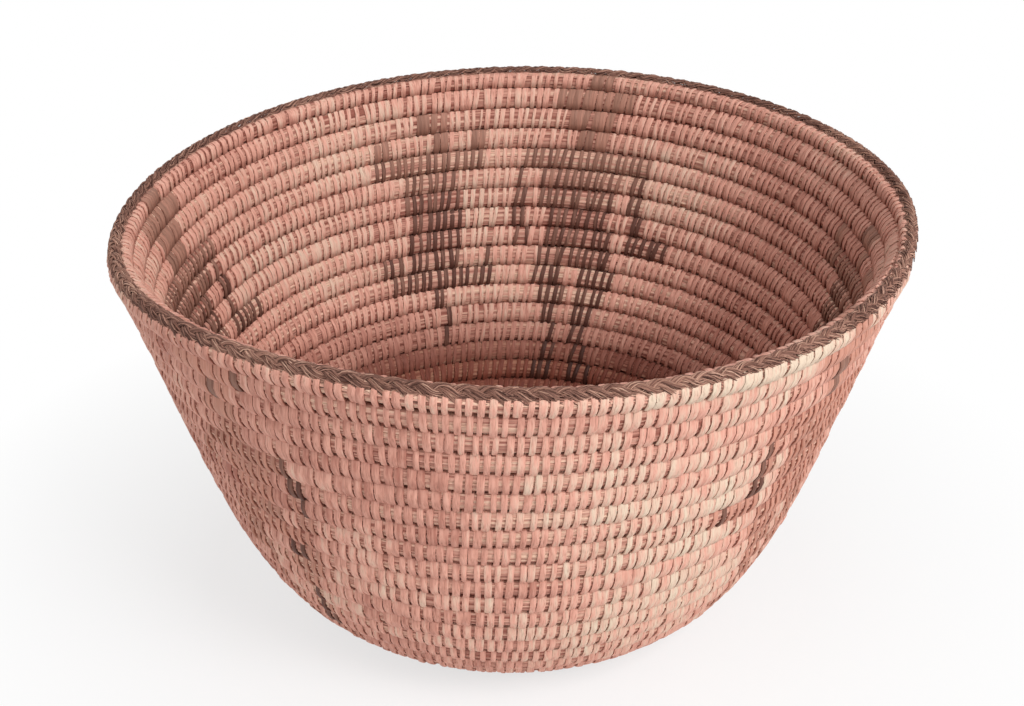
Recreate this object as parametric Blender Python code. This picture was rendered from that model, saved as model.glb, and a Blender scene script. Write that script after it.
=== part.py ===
"""A hand-coiled grass bowl with a plaited rim, resting on its flat base.

One bundle of grass, sewn round and round, makes the whole bowl. It starts beside a knot of four
woven strips at the middle of the base, runs out flat as base_coil, turns up and climbs to the rim as
wall_coil, and thins out under a plait of three strands. Lengths are in metres, angles in degrees.
Rows are counted down the wall from the rim's edge, and turns are counted back from the coil's tip.
"""

import math

import bpy
from mathutils import Matrix, Vector

# Driving sizes of the bowl, along the middle of the wall's thickness
RIM_RADIUS = 0.131
WALL_SLANT = 0.176
ROW_PITCH = 0.00815
ROW_GAP = 0.0006
SEAT_GAP = 0.0003

# The wall's slope from upright, at shares of its slant from the rim down
SLOPE_SHARES = (0.0, 0.07, 0.14, 0.42, 0.55, 0.65, 0.74, 0.83, 0.88, 0.93, 1.0)
SLOPE_DEGREES = (21.5, 20.5, 16.5, 17.0, 19.5, 25.0, 33.0, 50.0, 58.0, 71.0, 90.0)

# How the rim leans, sags and drops at the back, and how far down the wall that is felt
RIM_LEAN = 0.0047
RIM_SAG = 0.0018
SAG_TURN_DEGREES = -79.0
LEAN_DEPTH = 0.124
BACK_DROP = 0.001

# How the front of the rim twists, up on the left and down on the right
RIM_TWIST = 0.0046
TWIST_TURN_DEGREES = -2.0
TWIST_DEPTH = 0.062

# The coil's tip, the arc in which each row climbs onto the one below, and the rows kept level
TIP_DEGREES = -40.0
CLIMB_SHARE = 0.125
TIP_SHARE = 0.25
LEVEL_ROWS = 24
WALL_TURNS = math.floor(WALL_SLANT / ROW_PITCH)
POINTS_PER_TURN = 24
PRESSED_SHARE = 0.1

# Rim plait of three flat strands
STRAND_WIDTH = 0.0014
STRAND_THICKNESS = 0.0009
STRANDS = 3
PLAIT_SWING_SHARE = 1.25
PLAIT_PERIOD_SHARE = 14.0
PLAIT_DROOP_SHARE = 0.1
POINTS_PER_PERIOD = 6

# Woven knot that the coil starts from
STRIP_WIDTH = 0.0036
STRIP_THICKNESS = 0.0008
STRIP_SPACE = 0.0019
STRIP_END = 0.0016
KNOT_SHIFT_SHARE = 0.17

PROFILE_STEPS = 800
HEXAGON_FLAT_SHARE = math.cos(math.radians(30))
HEXAGON_TURN = math.radians(30)
CORD_RADIUS = (ROW_PITCH - ROW_GAP) / 2


def clear_scene():
    for thing in list(bpy.data.objects):
        bpy.data.objects.remove(thing)


def blend_table(shares, values, at):
    """The value at one share, straight between the table's neighbours."""
    for low, high, first, second in zip(shares, shares[1:], values, values[1:]):
        if at <= high:
            return first + (second - first) * (at - low) / (high - low)
    return values[-1]


def wall_profile():
    """Radius, height below the rim and slope down the wall's middle line, then in along the base."""
    step = WALL_SLANT / PROFILE_STEPS
    radius, drop = RIM_RADIUS, 0
    rows = []
    for index in range(PROFILE_STEPS + 1):
        slope = math.radians(blend_table(SLOPE_SHARES, SLOPE_DEGREES, index / PROFILE_STEPS))
        rows.append((radius, drop, slope))
        radius -= step * math.sin(slope)
        drop += step * math.cos(slope)
    return rows


PROFILE = wall_profile()
BASE_RADIUS, BASE_DROP, _ = PROFILE[-1]
FOOT_DEPTH = CORD_RADIUS * (HEXAGON_FLAT_SHARE - 2 * PRESSED_SHARE)
RIM_HEIGHT = BASE_DROP + FOOT_DEPTH


def wall_line(row):
    """Radius, height above the foot and slope at a row place, where 0 is the rim's edge."""
    slant = row * ROW_PITCH
    if slant >= WALL_SLANT:
        return BASE_RADIUS - (slant - WALL_SLANT), FOOT_DEPTH, math.radians(90)
    place = max(slant, 0) / WALL_SLANT * PROFILE_STEPS
    index = min(int(place), PROFILE_STEPS - 1)
    above, below = PROFILE[index], PROFILE[index + 1]
    radius, drop, slope = (a + (b - a) * (place - index) for a, b in zip(above, below))
    return radius, RIM_HEIGHT - drop, slope


def lean(radius, height, angle):
    """How far the leaning, sagging rim lifts a point of the wall."""
    drop = RIM_HEIGHT - height
    felt = max(0, 1 - drop / LEAN_DEPTH)
    tilt = RIM_LEAN * math.cos(angle) - BACK_DROP * max(0, math.sin(angle))
    sag = RIM_SAG * math.cos(2 * (angle - math.radians(SAG_TURN_DEGREES)))
    return (felt * (tilt + sag) + twist(drop, angle)) * radius / RIM_RADIUS


def twist(drop, angle):
    """How far the front's twist lifts a point, so far below the rim."""
    front = math.sqrt(max(0, -math.sin(angle)))
    turned = math.sin(2 * (angle - math.radians(TWIST_TURN_DEGREES)))
    return RIM_TWIST * turned * front * max(0, 1 - drop / TWIST_DEPTH)


def climb(share, level):
    """How much of a row the coil has climbed in this share of a turn: even, or level and then at once."""
    ramp = min(share / CLIMB_SHARE, 1)
    return share + level * (ramp - share)


def row_of_turn(turns):
    """The row place of the coil's centre, so many turns before the tip."""
    whole = math.floor(turns)
    if whole < 1:
        return climb(turns, 1) / 2
    return whole - 0.5 + climb(turns - whole, max(0, 1 - whole / LEVEL_ROWS))


def angle_of_turn(turns):
    return math.radians(TIP_DEGREES) + 2 * math.pi * turns


def wall_point(row, angle, out=0, up=0):
    """A point of the wall's middle line, moved out through the wall and up along it."""
    radius, height, slope = wall_line(row)
    rise = lean(radius, height, angle)
    radius += out * math.cos(slope) + up * math.sin(slope)
    height += up * math.cos(slope) - out * math.sin(slope)
    return Vector((radius * math.cos(angle), radius * math.sin(angle), height + rise))


def turn_of_start():
    """The turn at which the flat coil reaches the knot."""
    inward = BASE_RADIUS - start_radius()
    return (WALL_SLANT + inward) / ROW_PITCH + 0.5


def knot_half_span():
    return STRIP_WIDTH + STRIP_SPACE / 2


def knot_half_length():
    return knot_half_span() + STRIP_END


def knot_shift():
    """The coil's first loop widens as it goes, so the knot lies off the middle, away from its start."""
    return ROW_PITCH * KNOT_SHIFT_SHARE


def start_radius():
    """Where the coil's first bundle clears a corner of the knot."""
    reach = math.hypot(knot_half_length(), knot_half_span())
    return reach - knot_shift() + SEAT_GAP + CORD_RADIUS


def principled(name, colour, roughness):
    made = bpy.data.materials.new(name)
    made.use_nodes = True
    shader = made.node_tree.nodes["Principled BSDF"]
    shader.inputs["Base Color"].default_value = (*colour, 1)
    shader.inputs["Roughness"].default_value = roughness
    shader.inputs["Metallic"].default_value = 0
    made.diffuse_color = (*colour, 1)
    return made


def place_object(name, data, material):
    thing = bpy.data.objects.new(name, data)
    data.materials.append(material)
    bpy.context.scene.collection.objects.link(thing)
    return thing


def tube_curve(name, places, scales, tilts, closed):
    """A poly curve through the places, whose section turns with the wall's slope."""
    curve = bpy.data.curves.new(name, "CURVE")
    curve.dimensions = "3D"
    curve.twist_mode = "Z_UP"
    curve.fill_mode = "FULL"
    spline = curve.splines.new("POLY")
    spline.points.add(len(places) - 1)
    spline.use_cyclic_u = closed
    for point, place, scale, tilt in zip(spline.points, places, scales, tilts):
        point.co = (*place, 1)
        point.radius = scale
        point.tilt = tilt
    return curve


def coil_place(turns):
    """A point on the coil, on the straight run between the two stations beside it."""
    station = math.floor(turns * POINTS_PER_TURN)
    ends = [index / POINTS_PER_TURN for index in (station, station + 1)]
    low, high = (wall_point(row_of_turn(end), angle_of_turn(end)) for end in ends)
    return low.lerp(high, turns * POINTS_PER_TURN - station)


def turns_between(first, last):
    """The two ends, and between them the stations that every loop shares."""
    stations = range(math.floor(first * POINTS_PER_TURN) + 1, math.ceil(last * POINTS_PER_TURN))
    return [first] + [index / POINTS_PER_TURN for index in stations] + [last]


def loop_room(turns):
    """What a loop and the next one in share between them, once their gap is left free."""
    return (coil_place(turns + 1) - coil_place(turns)).length - ROW_GAP


def cord_radius(turns):
    """The cord fills the room between its neighbours, and thins to its tip under the rim."""
    if turns < 1:
        beside = cord_radius(turns + 1)
        return min(CORD_RADIUS * min(turns / CLIMB_SHARE, 1), loop_room(turns) - beside)
    above = turns - 1 if turns >= 2 else turns
    return min(loop_room(turns), loop_room(above)) / 2


def least_gap(places, radii):
    """The smallest gap between the coil and its next loop, measured on its points."""
    least = ROW_PITCH
    for index, place in enumerate(places):
        near = range(index + POINTS_PER_TURN - 2, index + POINTS_PER_TURN + 3)
        for other in near:
            if other + 1 >= len(places):
                continue
            start, run = places[other], places[other + 1] - places[other]
            along = max(0, min(1, (place - start).dot(run) / run.length_squared))
            gap = (place - start - run * along).length - radii[index] - radii[other]
            least = min(least, gap)
    return least


def make_coil(name, first, last, material):
    """One unbroken tube of hexagon section between two turns of the coil."""
    turns = turns_between(first, last)
    places = [coil_place(turn) for turn in turns]
    tilts = [wall_line(row_of_turn(turn))[2] + HEXAGON_TURN for turn in turns]
    radii = [cord_radius(turn) for turn in turns]
    gap = least_gap(places, radii)
    print(f"{name}: {last - first:.1f} loops, least gap to itself {gap * 1000:.2f} mm")
    scales = [radius / CORD_RADIUS for radius in radii]
    curve = tube_curve(name, places, scales, tilts, False)
    curve.bevel_depth = CORD_RADIUS
    curve.bevel_resolution = 1
    curve.use_fill_caps = True
    return place_object(name, curve, material)


def press_flat(coil):
    """Gives a coil its level underside where it rests, and leaves it as a mesh."""
    graph = bpy.context.evaluated_depsgraph_get()
    mesh = bpy.data.meshes.new_from_object(coil.evaluated_get(graph))
    name = coil.name
    bpy.data.objects.remove(coil)
    for vertex in mesh.vertices:
        vertex.co.z = max(vertex.co.z, 0)
    mesh.name = name
    mesh.shade_smooth()
    mesh.set_sharp_from_angle(angle=math.radians(50))
    pressed = bpy.data.objects.new(name, mesh)
    bpy.context.scene.collection.objects.link(pressed)
    return pressed


def make_coils(material):
    joint = WALL_TURNS + 1 / (2 * POINTS_PER_TURN)
    radius = wall_line(row_of_turn(joint))[0]
    half_gap = SEAT_GAP / 2 / (2 * math.pi * radius)
    wall = make_coil("wall_coil", TIP_SHARE * CLIMB_SHARE, joint - half_gap, material)
    base = make_coil("base_coil", joint + half_gap, turn_of_start(), material)
    bpy.context.view_layer.update()
    for coil in (wall, base):
        press_flat(coil)


def strand_section():
    """The flat four-sided section that every strand of the plait is swept with."""
    curve = bpy.data.curves.new("strand_section", "CURVE")
    spline = curve.splines.new("POLY")
    half_width, half_thickness = STRAND_WIDTH / 2, STRAND_THICKNESS / 2
    corners = [(half_width, 0), (0, -half_thickness), (-half_width, 0), (0, half_thickness)]
    spline.points.add(len(corners) - 1)
    spline.use_cyclic_u = True
    for point, corner in zip(spline.points, corners):
        point.co = (*corner, 0, 1)
    guide = bpy.data.objects.new("strand_section", curve)
    bpy.context.scene.collection.objects.link(guide)
    guide.hide_render = True
    guide.display_type = "WIRE"
    return guide


def make_plait(material):
    """Three strands that pass over and under each other all round the rim."""
    section = strand_section()
    swing = STRAND_WIDTH * PLAIT_SWING_SHARE
    lift = (STRAND_THICKNESS + SEAT_GAP) / math.sqrt(3)
    droop = STRAND_THICKNESS * PLAIT_DROOP_SHARE
    seat = STRAND_THICKNESS / 2 + lift / 2 + SEAT_GAP - (ROW_PITCH / 2 - CORD_RADIUS) / 2
    periods = round(2 * math.pi * RIM_RADIUS / (STRAND_WIDTH * PLAIT_PERIOD_SHARE))
    count = periods * POINTS_PER_PERIOD
    slope = wall_line(0)[2]
    for strand in range(STRANDS):
        places = []
        for index in range(count):
            angle = 2 * math.pi * index / count
            phase = angle * periods + math.pi / POINTS_PER_PERIOD + 2 * math.pi * strand / STRANDS
            out = swing * math.sin(phase)
            up = lift * math.sin(2 * phase) - droop * math.sin(phase) ** 2
            places.append(wall_point(0, angle, out, seat + up))
        name = f"rim_plait_strand_{strand + 1}"
        curve = tube_curve(name, places, [1] * count, [slope] * count, True)
        curve.bevel_mode = "OBJECT"
        curve.bevel_object = section
        place_object(name, curve, material)


def strip_stations(over):
    """Places along a strip: its distance from the middle, and its side of the knot's middle plane."""
    inner, crossing, end = STRIP_SPACE / 2, knot_half_span(), knot_half_length()
    side = 1 if over else -1
    return [(-end, side), (-crossing, side), (-inner, side), (inner, -side), (crossing, -side), (end, -side)]


def make_strip(name, across, over, turn, material):
    """A flat strip that passes over one neighbour and under the other."""
    half_width, half_thickness = STRIP_WIDTH / 2, STRIP_THICKNESS / 2
    offset = half_thickness + SEAT_GAP / 2
    points, faces = [], []
    for along, side in strip_stations(over):
        for y, z in ((-1, -1), (1, -1), (1, 1), (-1, 1)):
            points.append(Vector((along, across + y * half_width, side * offset + z * half_thickness)))
    rings = len(points) // 4
    for ring in range(rings - 1):
        for corner in range(4):
            beside = (corner + 1) % 4
            low, high = 4 * ring, 4 * ring + 4
            faces.append((low + corner, low + beside, high + beside, high + corner))
    faces.append((3, 2, 1, 0))
    faces.append(tuple(4 * (rings - 1) + corner for corner in range(4)))
    mesh = bpy.data.meshes.new(name)
    mesh.from_pydata(points, [], faces)
    strip = place_object(name, mesh, material)
    start = angle_of_turn(turn_of_start())
    middle = Vector((-knot_shift() * math.cos(start), -knot_shift() * math.sin(start), FOOT_DEPTH))
    strip.matrix_world = Matrix.Translation(middle) @ Matrix.Rotation(turn, 4, "Z")


def make_knot(material):
    """Two strips each way, woven plainly, with a corner towards the start of the coil."""
    corner = math.atan2(knot_half_span(), knot_half_length())
    turn = angle_of_turn(turn_of_start()) - corner
    across = (STRIP_WIDTH + STRIP_SPACE) / 2
    make_strip("start_strip_1", across, True, turn, material)
    make_strip("start_strip_2", -across, False, turn, material)
    quarter = turn + math.radians(90)
    make_strip("start_strip_3", across, True, quarter, material)
    make_strip("start_strip_4", -across, False, quarter, material)


def main():
    clear_scene()
    grass = principled("sewn_grass", (0.72, 0.41, 0.29), 0.75)
    pale = principled("start_grass", (0.78, 0.55, 0.38), 0.7)
    dark = principled("rim_splint", (0.20, 0.11, 0.08), 0.6)
    make_coils(grass)
    make_knot(pale)
    make_plait(dark)


main()
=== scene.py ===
"""Dresses a hand-coiled grass bowl: its grass bundle, every stitch, the figures and the plaited rim.

The bundle runs round and round from the tip under the rim down to the knot in the middle of the base.
Turns are counted back from the tip, and rows down the wall from the rim's edge, as in the source.
Every point is placed by its row, its angle round the bowl, and how far it lies out through the wall
and up along it. Lengths are in metres. A tone runs from 0 to 1 through a material's colours.
"""
import math

import bpy
import numpy as np
from mathutils import Matrix, Vector


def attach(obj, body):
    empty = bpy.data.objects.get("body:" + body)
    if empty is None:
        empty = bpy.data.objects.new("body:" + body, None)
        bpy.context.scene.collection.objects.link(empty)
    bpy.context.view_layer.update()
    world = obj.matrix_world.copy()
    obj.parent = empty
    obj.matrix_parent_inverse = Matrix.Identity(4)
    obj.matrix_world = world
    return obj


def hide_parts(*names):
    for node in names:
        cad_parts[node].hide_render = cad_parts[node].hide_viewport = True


bl_info = {
    "name": "Coiled basket bowl",
    "version": (1, 0, 0),
    "blender": (4, 5, 0),
    "location": "View3D > Sidebar > Basket",
    "description": "Dresses the bowl with its grass bundle, stitches, figures and plaited rim",
    "category": "Object",
}

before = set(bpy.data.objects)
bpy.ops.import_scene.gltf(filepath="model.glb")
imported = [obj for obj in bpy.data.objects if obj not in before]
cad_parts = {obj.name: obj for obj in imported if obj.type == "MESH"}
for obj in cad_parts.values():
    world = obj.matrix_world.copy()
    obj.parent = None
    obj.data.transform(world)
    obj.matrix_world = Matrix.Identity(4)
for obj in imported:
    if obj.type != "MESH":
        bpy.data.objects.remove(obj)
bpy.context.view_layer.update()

FULL_TURN = 2 * math.pi
FULL_DEGREES = 360
RANDOM_SEED = 11

# The coil's path, as the source has it
RIM_RADIUS = 0.131
WALL_SLANT = 0.176
ROW_PITCH = 0.00815
HALF_PITCH = ROW_PITCH / 2
ROW_GAP = 0.0006
SEAT_GAP = 0.0003
SLOPE_SHARES = (0.0, 0.07, 0.14, 0.42, 0.55, 0.65, 0.74, 0.83, 0.88, 0.93, 1.0)
SLOPE_DEGREES = (21.5, 20.5, 16.5, 17.0, 19.5, 25.0, 33.0, 50.0, 58.0, 71.0, 90.0)
RIM_LEAN = 0.0047
RIM_SAG = 0.0018
SAG_TURN = math.radians(-79)
LEAN_DEPTH = 0.124
BACK_DROP = 0.001
RIM_TWIST = 0.0046
TWIST_TURN = math.radians(-2)
TWIST_DEPTH = 0.062
TIP_ANGLE = math.radians(-40)
CLIMB_SHARE = 0.125
TIP_SHARE = 0.25
FIRST_TURN = TIP_SHARE * CLIMB_SHARE
LEVEL_ROWS = 24
WALL_TURNS = 21
PROFILE_STEPS = 800
HEXAGON_FLAT_SHARE = math.cos(math.radians(30))
PRESSED_SHARE = 0.1
CORD_RADIUS = (ROW_PITCH - ROW_GAP) / 2
FOOT_DEPTH = CORD_RADIUS * (HEXAGON_FLAT_SHARE - 2 * PRESSED_SHARE)

# The woven knot, and the bundle's thin start round it
STRIP_COUNT = 4
STRIP_WIDTH = 0.0036
STRIP_THICKNESS = 0.0008
STRIP_SPACE = 0.0019
STRIP_END = 0.0016
STRIP_CUTS = 11
STRIP_EDGE_STEPS = 2
STRIP_TONE = 0.45
STRIP_TONE_STEP = 0.05
KNOT_HALF_SPAN = STRIP_WIDTH + STRIP_SPACE / 2
KNOT_HALF_LENGTH = KNOT_HALF_SPAN + STRIP_END
KNOT_SHIFT_SHARE = 0.17
KNOT_SHIFT = ROW_PITCH * KNOT_SHIFT_SHARE
KNOT_REACH = 0.0062
START_TURNS = 0.94
START_SEWN_TURNS = 0.8

# The bundle's section and its stations, and the last loop's top under the plait
BUNDLE_STATIONS = 110
BUNDLE_SIDES = 32
BUNDLE_SQUARENESS = 2.8
FACE_SHARE = 0.45
EVEN_ANGLES = FULL_TURN * np.arange(BUNDLE_SIDES) / BUNDLE_SIDES
BUNDLE_ANGLES = EVEN_ANGLES - FACE_SHARE * np.sin(2 * EVEN_ANGLES) / 2
STEM_COUNTS = (15, 9)
STEM_SHARES = (0.65, 0.35)
STEM_DRIFTS = ((0.9, 7.3, 1.3), (0.6, 13.7, 4.1), (0.35, 31.0, 2.2))
STEM_TONE_SHARE = 0.125
# Painted shade in the valleys between rows: where it starts round the bundle's section and how far it
# grows
CREASED_FROM_SHARE = 0.72
CREASED_SPAN_SHARE = 0.22
TOP_PRESS_SHARE = 0.38
TOP_SLOPE_SHARE = 0.3
TOP_PRESS_END = 0.04

# A stitch's rings round the bundle, from below outside over the top to below inside
STITCH_SHOULDER_SHARE = 0.25
STITCH_DEGREES = (-79, -63, -45, -18, 14, 52, 90, 128, 166, 198, 225, 243, 259)
STITCH_WIDTH_SHARES = (0.3, 0.74, 0.96, 1, 1, 1, 1, 1, 1, 1, 0.96, 0.74, 0.3)
RING_SHARES = np.arange(len(STITCH_DEGREES)) / (len(STITCH_DEGREES) - 1)
STITCH_SQUARENESS = 3.5
STITCH_BITE = 0.0005
STITCH_SINK = 0.00015
FLOOR_CLEARANCE = 0.00005
TOP_SHARE = 0.5
INSIDE_SHARE = 0.42
INSIDE_BLEND_SHARE = 0.1
# Painted shade at a stitch's ends: where it starts on the outside and on the inside
OUTER_END_SHARE = 0.33
INNER_END_SHARE = 0.175

# Where the stitches lie, how they are parted into pieces, and how their sizes vary
PIECE_TURNS = (0, 5, 10, 15, 21, 28)
LENGTH_SAMPLES_PER_TURN = 500
SHORTEST_SPLINT = 7
LONGEST_SPLINT = 30
WIDTH_DEGREES = (0, 60, 120, 200, 235, 255, 272, 285, 300, 335, 360)
WIDTH_SHARES = (1, 0.93, 0.93, 1.03, 1.14, 1.04, 0.93, 1.02, 1.26, 1.24, 1)
WIDTH_SPREAD_SHARE = 0.8
DARK_WIDTH_SPREAD_SHARE = 0.09
THICKNESS_SPREAD_SHARE = 0.14
LEAN_SPREAD_SHARE = 0.4
LEAN_SIDE_SHARE = 0.25

# The figures, by row: degrees from a figure's middle to each dark span's two ends
MAN_ROWS = {
    1: (0, 4.5), 2: (-5.5, 9), 3: (-2.5, 5.5), 4: (-1.5, 4.5), 5: (-12, 14),
    6: (-13, -10.5, -8.5, 9.5, 11, 14), 7: (-13, -11, -8.5, 7, 11, 14),
    8: (-14, -11, -7, 7.5, 11, 14), 9: (-14, -11, -7, 7.5, 11, 21), 10: (-8.5, 9),
    11: (-9, -2.5, 2, 9.5), 12: (-9, -2, 1, 8), 13: (-7.5, -2.5, 1, 6),
    14: (-5.5, -2.5, 1, 4), 15: (-5.5, -2, 1.5, 4.5), 16: (-9.5, -2.5, 1, 7),
}
SLIM_MAN_ROWS = {
    2: (-6, 6), 3: (-3, 3), 4: (-3, 3), 5: (-2.5, 2.5), 6: (-10, 8),
    7: (-11, -8.5, -4.5, 4.5, 8, 10.5), 8: (-11, -8.5, -4.5, 4.5, 8, 10.5),
    9: (-11, -8.5, -4.5, 4.5), 10: (-9, 9), 11: (-11, -3, 3, 11), 12: (-10, -3, 3, 10),
    13: (-7, -3.5, 3, 6.5), 14: (-6, -3, 3, 6), 15: (-6, -3, 3, 6), 16: (-6, -2, 2, 6),
    17: (-9, -2, 2, 8),
}
TURTLE_ROWS = {
    3: (-2.5, 4), 4: (-12, -8.5, 0, 3, 8, 12), 5: (-12, 11), 6: (-6, 5.5), 7: (-6, 5.5),
    8: (-6, 5.5), 9: (-6, 5.5), 10: (-13, -8.5, -6, 5.5, 10, 12), 11: (-12.5, 12.5),
    12: (-2.5, 1.5), 13: (-1, 1), 14: (-1, 1),
}
FIGURES = (
    (75.6, MAN_ROWS), (173.5, MAN_ROWS), (323, MAN_ROWS), (227.5, SLIM_MAN_ROWS),
    (105.9, TURTLE_ROWS), (0, TURTLE_ROWS),
)
PALE_FIGURE_ROWS = 4

# Where dark stitches kept their dye outside: first and last row, and degrees round the bowl
KEPT_OUTSIDE = (
    (1, 1, 223, 225.5), (2, 2, 226, 228.5), (2, 2, 232.5, 234.5), (3, 3, 227, 229.5),
    (3, 3, 231, 232.5), (5, 8, 234, 240), (11, 11, 231, 240), (14, 16, 226, 234),
    (3, 4, 315, 322), (6, 8, 307, 312), (9, 9, 301, 306),
)
KEPT_SHARE = 0.75
KEPT_TONE = 0.72
DARK_TONES = (0.45, 0.92)
DARKER_FROM_ROW = 3
DARKER_ROWS = 9
DARK_TONE_SPREAD = 0.09
DYED_RUN_TONE = 0.06

# The plain stitches' tones, with soft patches of painted light given as degrees round the bowl and their
# spread
PLAIN_TONE = 0.45
PLAIN_RUN_TONE = 0.07
PLAIN_TONE_SPREAD = 0.06
# Painted shade: the outside's splints a little darker than the same splints inside
OUTER_TONE_LOSS = 0.1
FIRST_ROW_TONE = 0.2
# Painted light on the outside's right front, where the key lamp falls
PAINTED_LIGHT_PATCH = (303, 24)
PAINTED_LIGHT_TONE = 0.45
# Painted light on the lower front of the outside, from its first row over some rows, and the share of
# the side's painted light that the lower rows lose
LOW_PAINTED_LIGHT_PATCH = (268, 24)
LOW_PAINTED_LIGHT_TONE = 0.3
LOW_PAINTED_LIGHT_FROM_ROW = 9
LOW_PAINTED_LIGHT_ROWS = 4
LOW_LOSS_SHARE = 0.45
# Rows over which the painted light fades out
PATCH_END_ROWS = (15, 20)
INNER_TONE = 0.45
INNER_CALM_SHARE = 0.6
INNER_TONE_GAIN = 0.03
# Painted light on the inside's back wall, which faces the key lamp
PAINTED_LIGHT_INSIDE_PATCH = (118, 50)
PAINTED_LIGHT_INSIDE_TONE = 0.14
# Painted shade inside, darker with every row below this one
SHADED_FROM_ROW = 7
ROW_SHADE_LOSS = 0.04

# Painted shade inside the bowl, most where the wall turns into the base, and how much softer the
# valleys' painted shade is inside
DEEP_SHADE_ROWS = (9, 13, 14.5, 18, 27)
DEEP_SHADE_SHARES = (0, 0.45, 0.84, 0.86, 0.42)
INNER_SOFTNESS_SHARE = 0.65

# The plait's path, its fibres and their tones
PLAIT_STRANDS = 3
PLAIT_PERIODS = 42
PLAIT_PHASE = math.pi / 6
PLAIT_STATIONS = 14
INNER_TIP_SHARE = 0.3
FIBRE_SIDES = 5
FIBRE_ANGLES = FULL_TURN * np.arange(FIBRE_SIDES) / FIBRE_SIDES
FIBRE_SIZE_SHARES = (0.85, 1.15)
FIBRE_TONE = 0.34
FIBRE_TONE_SPREAD = 0.22
FIBRE_TONE_WAVE = 0.14
FIBRE_TONE_RATES = (30, 90)
# Painted light on the plait's right front, where the key lamp falls
PLAIT_PAINTED_LIGHT_PATCH = (293, 9)
PLAIT_PAINTED_LIGHT_TONE = 0.3
PLAIT_FLECKS = 60
FLECK_TONE = 0.5

# A fibre's unevenness: its share of the radius, its slowest and fastest rate, and how many waves
FIBRE_SWAY = (0.6, 9, 160, 4)
FIBRE_BULGE = (0.25, 20, 140, 3)

# Each material's grain: how far it is drawn out and how fine it is, its shares of streaks, fine lines
# and fading, the colour of its painted shade in creases and hollows, its relief and its share of
# roughness
GRASS_LOOKS = {
    "bundle_grass": (40, 3000, 1.05, 0.95, 0.15, (0.4, 0.27, 0.23), 0.0002, 0.72),
    "sewing_splint": (5, 2600, 0.45, 0.5, 0.3, (0.26, 0.14, 0.11), 0.00012, 0.6),
    "dyed_splint": (14, 2600, 0.35, 0.5, 0.2, (0.35, 0.24, 0.2), 0.00012, 0.58),
    "plait_fibre": (30, 3600, 0.7, 0.85, 0.3, (0.34, 0.24, 0.2), 0.00016, 0.7),
    "knot_strip": (12, 2400, 0.5, 0.5, 0.2, (0.5, 0.4, 0.34), 0.00012, 0.65),
}

# The masks that the node groups make from noise: how many times finer, its detail, and its range
GRAIN_MASKS = (("Fibre", 1, 3, 0.3, 0.7), ("Streak", 0.33, 2, 0.3, 0.7))
WEATHER_MASKS = (("Faded", 1, 3, 0.4, 0.65), ("Soiled", 6, 4, 0.55, 0.75))

# What all the materials share
MIDDLE_SHARE = 0.5
FIBRE_SHEEN_SHARE = 0.22
PATCH_SCALE = 14
SOILED_SHARE = 0.22
SOILED_COLOUR = (0.55, 0.42, 0.36)
FINE_LINE_COLOUR = (0.5, 0.4, 0.36)
FINE_LINE_SHARE = 0.45
# How the painted shade value is spread, from where it starts to where it is full
PAINTED_SHADE_RANGE = (0.25, 0.85)
DULLER_SHARE = 0.12
SHINIER_SHARE = 0.1
BUMP_SHARE = 0.7
SHARP_ANGLE = math.radians(48)
WHITE = (1, 1, 1)

# The camera, from its place and aim in the photograph
CAMERA_DISTANCE = 0.5502
CAMERA_ELEVATION = math.radians(23.242)
CAMERA_AIM = math.radians(28.673)
CAMERA_YAW = math.radians(0.036)
CAMERA_ROLL = math.radians(0.22)
SENSOR_WIDTH = 36

# The floor and the lamps
FLOOR_SIZE = 8
SHADOW_REACH = 0.11
WHITE_REACH = 0.24
SHADOW_LIGHTENING_SHARE = 0.7
LAMP_HEIGHT = 1.25
LAMP_REACH = 1.25
KEY_SIZE = 0.7
FILL_SIZE = 1.6
KEY_BEARING = math.radians(-50)
FILL_BEARING = math.radians(235)

# Colours as pictures store them, and the digits that lengths are shown with
SRGB_STEP = 255
SRGB_LIFT = 0.055
SRGB_POWER = 2.4
LENGTH_DIGITS = 5


def linear(red, green, blue):
    """The renderer's colour for the values that a picture shows."""
    shares = [value / SRGB_STEP for value in (red, green, blue)]
    return tuple(((share + SRGB_LIFT) / (1 + SRGB_LIFT)) ** SRGB_POWER for share in shares)


# The coil's path

def running_sum(values):
    return np.concatenate(([0], np.cumsum(values)[:-1]))


def wall_profile():
    """Radius, drop below the rim and slope at even steps down the wall's middle line."""
    slopes = np.radians(np.interp(PROFILE_SHARES, SLOPE_SHARES, SLOPE_DEGREES))
    step = WALL_SLANT / PROFILE_STEPS
    return RIM_RADIUS - step * running_sum(np.sin(slopes)), step * running_sum(np.cos(slopes)), slopes


def base_row_at(radius):
    return (WALL_SLANT + BASE_RADIUS - radius) / ROW_PITCH


def base_radius_at(row):
    return WALL_SLANT + BASE_RADIUS - row * ROW_PITCH


PROFILE_SHARES = np.arange(PROFILE_STEPS + 1) / PROFILE_STEPS
PROFILE = wall_profile()
BASE_RADIUS = PROFILE[0][-1]
RIM_HEIGHT = PROFILE[1][-1] + FOOT_DEPTH
START_RADIUS = math.hypot(KNOT_HALF_LENGTH, KNOT_HALF_SPAN) - KNOT_SHIFT + SEAT_GAP + CORD_RADIUS
START_TURN = base_row_at(START_RADIUS) + 1 / 2


def wall_line(row):
    """Radius, height above the floor and slope at a row place, where 0 is the rim's edge."""
    slant = row * ROW_PITCH
    share = slant / WALL_SLANT
    radius, drop, slope = (np.interp(share, PROFILE_SHARES, values) for values in PROFILE)
    return radius - np.maximum(slant - WALL_SLANT, 0), RIM_HEIGHT - drop, slope


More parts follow.
